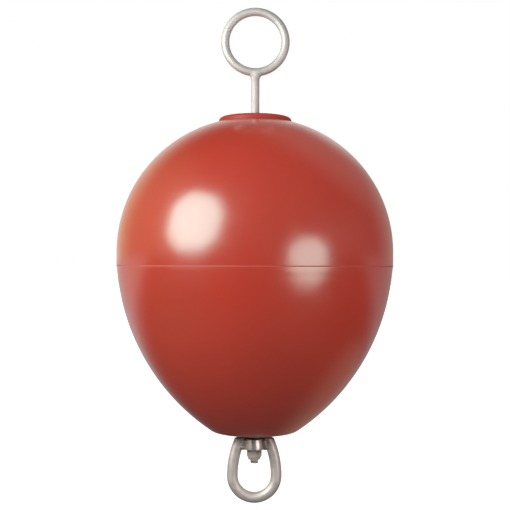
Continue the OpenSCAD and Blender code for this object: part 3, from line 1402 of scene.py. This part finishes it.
    def bow(self) -> Piece:
        """Make the bent bar: both legs and the half circle between them.

        Returns:
            The bow.
        """
        rings = list(reversed(self.leg_rings(-1)))
        for i in range(self.bend_steps + 1):
            angle = math.pi + math.pi * i / self.bend_steps
            out = Vector((math.cos(angle), 0.0, math.sin(angle)))
            rings.append(self.section(Vector((0.0, 0.0, self.mid)) + out * self.bend, out))
        return skinned("swivel_bow_bar", rings + self.leg_rings(1), joined=False, sharp=self.sharp)

    def bead_path(self, side: int, face: int) -> list[Point3]:
        """Find the line of a weld bead in the valley between a leg and the hub.

        Args:
            side: 1 for the right leg, -1 for the left.
            face: -1 for the front, 1 for the back.

        Returns:
            Points from the bead's lower end to its upper end.
        """
        low = self.hub_low + self.bead_foot * self.bead_radius
        high = self.hub_top - self.bead_radius
        points = []
        for i in range(self.bead_steps + 1):
            z = low + (high - low) * i / self.bead_steps
            x = (self.hub_r(z) + self.leg_x(z) - self.bar) / 2.0
            points.append((side * x, face * (self.bead_radius - self.bead_lap), z))
        return points

    def welds(self, finish: Material) -> Piece:
        """Make the weld beads as overlapping ripples along their lines.

        Args:
            finish: The steel that they are dressed in.

        Returns:
            All beads as one piece.
        """
        paths = [self.bead_path(side, face) for side in (-1, 1) for face in (-1, 1)]
        tree = NodeTree("weld_ripples")
        radius = tree.input("Bead Radius", "Float", self.bead_radius)
        pitch = tree.input("Ripple Pitch", "Float", self.bead_pitch)
        seed = tree.input("Seed", "Int", self.ripple_seed)
        curve = tree.add("MeshToCurve", Mesh=tree.start.outputs[0])
        spaced = tree.tree.nodes.new("GeometryNodeResampleCurve")
        spaced.mode = "LENGTH"
        tree.join(spaced, "Curve", curve.outputs[0])
        tree.join(spaced, "Length", pitch)
        ball = tree.add("MeshUVSphere", Segments=self.ripple_segments, Rings=self.ripple_rings)
        tree.join(ball, "Radius", radius)
        random = tree.tree.nodes.new("FunctionNodeRandomValue")
        random.data_type = "FLOAT_VECTOR"
        tree.join(random, "Min", self.ripple_least)
        tree.join(random, "Max", self.ripple_most)
        tree.join(random, "Seed", seed)
        placed = tree.add("InstanceOnPoints", Points=spaced.outputs[0], Instance=ball.outputs[0])
        tree.join(placed, "Scale", random.outputs[0])
        return tree.bake("swivel_weld_beads", placed.outputs[0], path_mesh("bead_lines", *paths), finish)

    def build(self) -> None:
        """Make the hub, bow and welds and put them on the swivel."""
        settle(self.hub(), HUB_STEEL.build(), Body.SWIVEL, "swivel_steel", "swivel_hub")
        settle(self.bow(), SWIVEL_STEEL.build(), Body.SWIVEL, "swivel_steel", "swivel_bow")
        weld_steel = WELD_STEEL.build()
        settle(self.welds(weld_steel), weld_steel, Body.SWIVEL, "weld_steel", "swivel_welds")


@dataclass(frozen=True)
class Softbox:
    """A rectangular studio lamp with its corners cut off."""

    name: str
    aim: Point3
    towards: Point3
    size: Point2
    radiance: float
    colour: Point3
    corner: float
    distance: float = 1.0
    watts_per_radiance: float = 4.0

    def build(self) -> None:
        """Make the lamp, cut its corners off by its nodes and turn it to its aim."""
        lamp = bpy.data.lights.new(self.name, "AREA")
        lamp.shape = "RECTANGLE"
        lamp.size, lamp.size_y = self.size
        lamp.energy = self.watts_per_radiance * self.size[0] * self.size[1] * self.radiance
        lamp.color = self.colour
        lamp.use_nodes = True
        shades = Shades(lamp.node_tree)
        spot = shades.nodes.new("ShaderNodeNewGeometry").outputs["Parametric"]
        off = shades.vector("ABSOLUTE", shades.vector("SUBTRACT", spot, LAMP_MIDDLE))
        inside = shades.joined("LESS_THAN", shades.vector("DOT_PRODUCT", off, LAMP_SIDES), self.corner)
        shades.links.new(inside, shades.nodes["Emission"].inputs["Strength"])
        aim = Vector(self.aim)
        holder = bpy.data.objects.new(self.name, lamp)
        holder.location = aim + Vector(self.towards).normalized() * self.distance
        holder.rotation_euler = (aim - holder.location).to_track_quat("-Z", "Y").to_euler()
        holder.visible_camera = False
        bpy.context.scene.collection.objects.link(holder)


@dataclass(frozen=True)
class Lobe:
    """A part of the room's light: how far a direction points one way, turned into a level."""

    towards: Point3
    span: Point2
    level: Point2

    def build(self, shades: Shades, look: Socket) -> Socket:
        """Add the lobe's nodes.

        Args:
            shades: The world's nodes.
            look: The direction that is looked in.

        Returns:
            The level, eased at both ends.
        """
        facing = shades.vector("DOT_PRODUCT", look, tuple(Vector(self.towards).normalized()))
        return shades.ranged(facing, self.span, self.level, smooth=True)


KEY_SOFTBOX = Softbox(
    name="key_softbox", aim=(-0.079, -0.180, 0.057), towards=(-0.734, -0.567, 0.374), size=(0.875, 0.86),
    radiance=4.3, colour=(0.90, 1.0, 0.98), corner=0.75,
)
FILL_SOFTBOX = Softbox(
    name="fill_softbox", aim=(0.068, -0.188, 0.0), towards=(0.681, -0.732, -0.04), size=(0.64, 0.52),
    radiance=2.75, colour=(1.07, 0.96, 0.92), corner=0.72,
)

# The backdrop and its dimmer ends, the cards that the gloss mirrors, and the room's soft light and tints
BACKDROP = Lobe(towards=(0.0, 1.0, 0.0), span=(0.15, 0.92), level=RISING)
BACKDROP_TOP = Lobe(towards=(0.0, 0.0, 1.0), span=(0.36, 0.84), level=(1.0, 0.05))
BACKDROP_RIGHT = Lobe(towards=(0.86, 0.0, -0.51), span=(-0.02, 0.22), level=(1.0, 0.42))
HIGH_CARD = Lobe(towards=(0.50, 0.55, 0.67), span=(0.78, 0.99), level=(0.06, 0.30))
LEFT_CARD = Lobe(towards=(-1.0, 0.12, 0.12), span=(0.45, 0.95), level=(0.0, 0.45))
RIGHT_CARD = Lobe(towards=(1.0, -0.15, -0.25), span=(0.55, 0.95), level=(0.0, 0.17))
FRONT_ROOM = Lobe(towards=(0.50, -0.66, 0.62), span=(-0.3, 0.9), level=(0.065, 0.70))
LEFT_WARMTH = Lobe(towards=(-1.0, 0.12, 0.12), span=(0.35, 0.85), level=RISING)
ROOM_LIGHT = (1.0, 0.95, 0.88, 1.0)
WARM_LIGHT = (1.0, 0.80, 0.50, 1.0)

# What the gloss mirrors of the floor, what the floor throws back, and what the camera sees of it
FLOOR_PATCH = Pool(
    centre=(0.56, 0.56), span=(0.30, 0.68), strength=(0.31, 0.0), colour=(1.0, 0.60, 0.44, 1.0),
)
FLOOR_BOUNCE = Pool(
    centre=(-1.9, -0.25), span=(0.3, 1.5), strength=(4.5, 0.0), colour=(1.0, 0.35, 0.20, 1.0),
)
FLOOR_EDGE = Pool(centre=(0.0, 0.0), span=(0.7, 1.4), strength=(0.80, 1.0))


@dataclass
class Studio:
    """The camera of the photograph, a floor that shows white, the room's light and two softboxes."""

    camera_distance: float = 1.4
    camera_sight: float = 100.0
    focal_pixels: float = 958.66
    frame_pixels: float = 510.0
    axis_row: float = 266.0
    axis_column: float = 254.8
    roll: float = math.radians(-0.16)
    sensor: float = 36.0
    floor_height: float = -0.62
    floor_half: float = 30.0
    floor_dark: Colour = (0.12, 0.12, 0.12, 1.0)
    floor_pale: Colour = (0.6, 0.6, 0.6, 1.0)
    floor_roughness: float = 0.9
    sweep_span: Point2 = (0.3, 1.8)
    sweep_strength: Point2 = (0.0, 0.5)
    slant_span: Point2 = (-1.0, 1.0)
    slant: Point2 = (1.2, 0.6)

    def camera(self) -> None:
        """Place the level camera in front of the buoy."""
        data = bpy.data.cameras.new("front_camera")
        data.sensor_width = self.sensor
        data.lens = self.focal_pixels / self.frame_pixels * self.sensor
        data.shift_x = (self.frame_pixels / 2.0 - self.axis_column) / self.frame_pixels
        data.shift_y = (self.axis_row - self.frame_pixels / 2.0) / self.frame_pixels
        data.clip_end = self.camera_sight
        holder = bpy.data.objects.new("front_camera", data)
        holder.location = (0.0, -self.camera_distance, 0.0)
        holder.rotation_euler = (math.pi / 2, self.roll, 0.0)
        bpy.context.scene.collection.objects.link(holder)
        bpy.context.scene.camera = holder

    def floor_finish(self) -> Material:
        """Build the floor's material.

        The camera sees it pale, with the buoy's shadow. In the gloss it is dark in front and brighter
        behind, and the soft light that it throws back is red at the left. From below it is clear.

        Returns:
            The finished material.
        """
        sheet = Sheet("studio_floor")
        sheet.set("Base Color", self.floor_dark)
        sheet.set("Roughness", self.floor_roughness)
        sheet.set("Specular IOR Level", 0.0)
        sweep = sheet.times(
            sheet.ranged(sheet.along("Y"), self.sweep_span, self.sweep_strength, smooth=True),
            sheet.ranged(sheet.along("X"), self.slant_span, self.slant),
        )
        dark = sheet.shader.outputs[0]
        pale = sheet.nodes.new("ShaderNodeBsdfDiffuse")
        pale.inputs["Color"].default_value = self.floor_pale
        mirrored = sheet.pooled(sheet.lit(dark, sweep, WHITE), FLOOR_PATCH, self.floor_height)
        bounced = sheet.pooled(dark, FLOOR_BOUNCE, self.floor_height)
        seen = sheet.pooled(pale.outputs[0], FLOOR_EDGE, self.floor_height)
        path = sheet.nodes.new("ShaderNodeLightPath").outputs
        unseen = sheet.picked(path["Is Diffuse Ray"], mirrored, bounced)
        above = sheet.picked(path["Is Camera Ray"], unseen, seen)
        clear = sheet.nodes.new("ShaderNodeBsdfTransparent").outputs[0]
        below = sheet.nodes.new("ShaderNodeNewGeometry").outputs["Backfacing"]
        final = sheet.picked(below, above, clear)
        sheet.links.new(final, sheet.nodes["Material Output"].inputs["Surface"])
        return sheet.material

    def floor(self) -> None:
        """Lay the floor well below the buoy."""
        half = self.floor_half
        mesh = bpy.data.meshes.new("studio_floor")
        corners = [(-half, -half), (half, -half), (half, half), (-half, half)]
        mesh.from_pydata([(x, y, self.floor_height) for x, y in corners], [], [(0, 1, 2, 3)])
        mesh.materials.append(self.floor_finish())
        floor = bpy.data.objects.new("studio_floor", mesh)
        bpy.context.scene.collection.objects.link(floor)

    def world(self) -> None:
        """Light the room: white to the camera, a backdrop and cards in the gloss, soft light in front."""
        world = bpy.data.worlds.new("studio")
        bpy.context.scene.world = world
        world.use_nodes = True
        shades = Shades(world.node_tree)
        look = shades.nodes.new("ShaderNodeTexCoord").outputs["Generated"]
        path = shades.nodes.new("ShaderNodeLightPath").outputs
        behind = BACKDROP.build(shades, look)
        for cut in (BACKDROP_TOP, BACKDROP_RIGHT):
            behind = shades.times(behind, cut.build(shades, look))
        mirrored = behind
        for card in (HIGH_CARD, LEFT_CARD, RIGHT_CARD):
            mirrored = shades.joined("MAXIMUM", mirrored, card.build(shades, look))
        spread = shades.joined("MAXIMUM", behind, FRONT_ROOM.build(shades, look))
        gloss = shades.joined("MAXIMUM", path["Is Glossy Ray"], path["Is Transmission Ray"])
        level = shades.mixed(gloss, spread, mirrored, plain=True)
        tint = shades.mixed(LEFT_WARMTH.build(shades, look), ROOM_LIGHT, WARM_LIGHT)
        background = shades.nodes["Background"].inputs
        seen = path["Is Camera Ray"]
        shades.links.new(shades.mixed(seen, level, 1.0, plain=True), background["Strength"])
        shades.links.new(shades.mixed(seen, tint, WHITE), background["Color"])

    def build(self) -> None:
        """Set the camera, floor, world and lamps."""
        bpy.context.scene.view_settings.view_transform = "Standard"
        self.camera()
        self.floor()
        self.world()
        KEY_SOFTBOX.build()
        FILL_SOFTBOX.build()


def main() -> None:
    """Build the studio and every sub-assembly in order."""
    logging.basicConfig(level=logging.INFO, format="%(name)s: %(message)s")
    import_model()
    Studio().build()
    assemblies = [kind.from_frame() for kind in (FloatBody, RodAndRing, LockNut, Swivel)]
    for assembly in assemblies:
        assembly.build()


if __name__ == "__main__":
    main()
